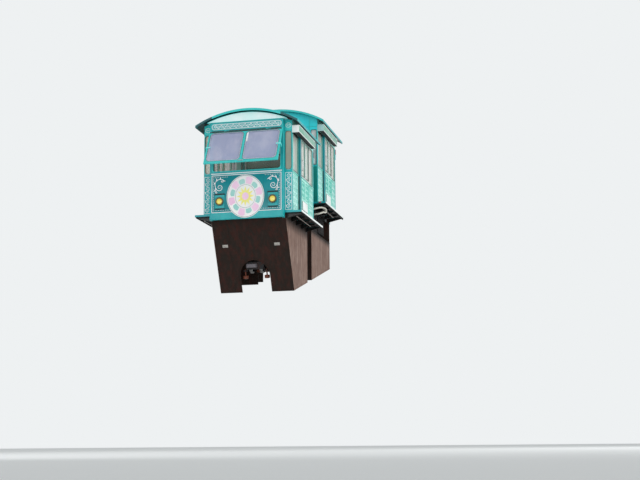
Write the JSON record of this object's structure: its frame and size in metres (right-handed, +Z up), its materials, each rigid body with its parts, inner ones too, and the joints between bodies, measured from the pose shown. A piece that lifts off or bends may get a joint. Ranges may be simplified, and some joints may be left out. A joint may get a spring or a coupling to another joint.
{
  "type": "two-section slope car",
  "caption": "Small articulated funicular car that straddles an inclined beam: two stepped cabins with arched roofs over skirted trucks.",
  "frame": {"origin": "on the beam's running surface, under the middle of the downhill section", "axes": "+Z up, +Y uphill, +X to the car's door side"},
  "size_m": [2.292, 4.9218, 4.3731],
  "materials": {
    "bare_steel": "worn",
    "black_rubber": "moulded",
    "brown_paint": "weathered",
    "dark_steel": "satin",
    "lamp_glass": "clear",
    "pale_paint": "gloss enamel",
    "polymer_tread": "moulded",
    "seat_vinyl": "vinyl",
    "teal_paint": "gloss enamel",
    "white_panel": "gloss enamel",
    "window_glass": "clear"
  },
  "bodies": {
    "front_section": {"front_outer_wall": "teal_paint", "front_inner_wall": "teal_paint", "front_right_wall": "pale_paint", "front_left_wall": "pale_paint", "front_floor": "teal_paint", "front_roof": "teal_paint", "front_door_box": "white_panel", "front_glazing": "window_glass", "front_fittings": "seat_vinyl", "front_truck_frame": "dark_steel", "front_drive_unit": "dark_steel", "front_legs": "dark_steel", "front_headlamps": "lamp_glass", "front_skirt_ends": "brown_paint", "front_skirt_sides": "brown_paint", "front_desk": "dark_steel", "front_display_board": "white_panel", "front_coupling_bar": "dark_steel", "front_buffer": "black_rubber"},
    "rear_section": {"rear_outer_wall": "teal_paint", "rear_inner_wall": "teal_paint", "rear_right_wall": "pale_paint", "rear_left_wall": "pale_paint", "rear_floor": "teal_paint", "rear_roof": "teal_paint", "rear_door_box": "white_panel", "rear_glazing": "window_glass", "rear_fittings": "seat_vinyl", "rear_truck_frame": "dark_steel", "rear_drive_unit": "dark_steel", "rear_legs": "dark_steel", "rear_headlamps": "lamp_glass", "rear_skirt_ends": "brown_paint", "rear_skirt_sides": "brown_paint", "rear_coupling_fork": "dark_steel", "rear_equipment": "dark_steel"},
    "front_sash": {"front_windscreen_sash": "teal_paint", "front_windscreen_glass": "window_glass"},
    "front_door_leaf": {"front_door": "pale_paint", "front_door_glass": "window_glass"},
    "front_pinion": {"front_drive_pinion": "bare_steel"},
    "front_axle_1": {"front_load_axle_1": "bare_steel"},
    "front_axle_2": {"front_load_axle_2": "bare_steel"},
    "front_guide_1": {"front_guide_roller_1": "polymer_tread"},
    "front_guide_2": {"front_guide_roller_2": "polymer_tread"},
    "front_guide_3": {"front_guide_roller_3": "polymer_tread"},
    "front_guide_4": {"front_guide_roller_4": "polymer_tread"},
    "rear_sash": {"rear_windscreen_sash": "teal_paint", "rear_windscreen_glass": "window_glass"},
    "rear_door_leaf": {"rear_door": "pale_paint", "rear_door_glass": "window_glass"},
    "rear_pinion": {"rear_drive_pinion": "bare_steel"},
    "rear_axle_1": {"rear_load_axle_1": "bare_steel"},
    "rear_axle_2": {"rear_load_axle_2": "bare_steel"},
    "rear_guide_1": {"rear_guide_roller_1": "polymer_tread"},
    "rear_guide_2": {"rear_guide_roller_2": "polymer_tread"},
    "rear_guide_3": {"rear_guide_roller_3": "polymer_tread"},
    "rear_guide_4": {"rear_guide_roller_4": "polymer_tread"}
  },
  "joints": [
    {"name": "section_pivot", "type": "hinge", "parent": "front_section", "child": "rear_section", "pos_m": [0, 1.1575, 0.47104], "axis": [0, 0, 1], "range_deg": [-8, 8]},
    {"name": "front_windscreen_hinge", "type": "hinge", "parent": "front_section", "child": "front_sash", "pos_m": [0, -1.074, 2.825], "axis": [-1, 0, 0], "range_deg": [-28, 0]},
    {"name": "front_door_slide", "type": "slide", "parent": "front_section", "child": "front_door_leaf", "axis": [0, 1, 0], "range_m": [0, 0.6]},
    {"name": "front_pinion_spin", "type": "hinge", "parent": "front_section", "child": "front_pinion", "pos_m": [0, 0.20051, 0.17697], "axis": [1, 0, 0], "continuous": true},
    {"name": "front_axle_1_spin", "type": "hinge", "parent": "front_section", "child": "front_axle_1", "pos_m": [0, -0.21619, 0.07062], "axis": [1, 0, 0], "continuous": true},
    {"name": "front_axle_2_spin", "type": "hinge", "parent": "front_section", "child": "front_axle_2", "pos_m": [0, 0.61353, 0.29683], "axis": [1, 0, 0], "continuous": true},
    {"name": "front_guide_1_spin", "type": "hinge", "parent": "front_section", "child": "front_guide_1", "pos_m": [-0.232, -0.27234, -0.14162], "axis": [0, -0.263, 0.9648], "continuous": true},
    {"name": "front_guide_2_spin", "type": "hinge", "parent": "front_section", "child": "front_guide_2", "pos_m": [0.232, -0.27234, -0.14162], "axis": [0, -0.263, 0.9648], "continuous": true},
    {"name": "front_guide_3_spin", "type": "hinge", "parent": "front_section", "child": "front_guide_3", "pos_m": [-0.232, 0.76963, 0.14245], "axis": [0, -0.263, 0.9648], "continuous": true},
    {"name": "front_guide_4_spin", "type": "hinge", "parent": "front_section", "child": "front_guide_4", "pos_m": [0.232, 0.76963, 0.14245], "axis": [0, -0.263, 0.9648], "continuous": true},
    {"name": "rear_windscreen_hinge", "type": "hinge", "parent": "rear_section", "child": "rear_sash", "pos_m": [0, 3.389, 3.45614], "axis": [1, 0, 0], "range_deg": [0, 28]},
    {"name": "rear_door_slide", "type": "slide", "parent": "rear_section", "child": "rear_door_leaf", "axis": [0, 1, 0], "range_m": [0, 0.6]},
    {"name": "rear_pinion_spin", "type": "hinge", "parent": "rear_section", "child": "rear_pinion", "pos_m": [0, 2.51551, 0.80811], "axis": [1, 0, 0], "continuous": true},
    {"name": "rear_axle_1_spin", "type": "hinge", "parent": "rear_section", "child": "rear_axle_1", "pos_m": [0, 2.09881, 0.70176], "axis": [1, 0, 0], "continuous": true},
    {"name": "rear_axle_2_spin", "type": "hinge", "parent": "rear_section", "child": "rear_axle_2", "pos_m": [0, 2.92853, 0.92797], "axis": [1, 0, 0], "continuous": true},
    {"name": "rear_guide_1_spin", "type": "hinge", "parent": "rear_section", "child": "rear_guide_1", "pos_m": [-0.232, 2.04266, 0.48952], "axis": [0, -0.263, 0.9648], "continuous": true},
    {"name": "rear_guide_2_spin", "type": "hinge", "parent": "rear_section", "child": "rear_guide_2", "pos_m": [0.232, 2.04266, 0.48952], "axis": [0, -0.263, 0.9648], "continuous": true},
    {"name": "rear_guide_3_spin", "type": "hinge", "parent": "rear_section", "child": "rear_guide_3", "pos_m": [-0.232, 3.08463, 0.7736], "axis": [0, -0.263, 0.9648], "continuous": true},
    {"name": "rear_guide_4_spin", "type": "hinge", "parent": "rear_section", "child": "rear_guide_4", "pos_m": [0.232, 3.08463, 0.7736], "axis": [0, -0.263, 0.9648], "continuous": true}
  ]
}
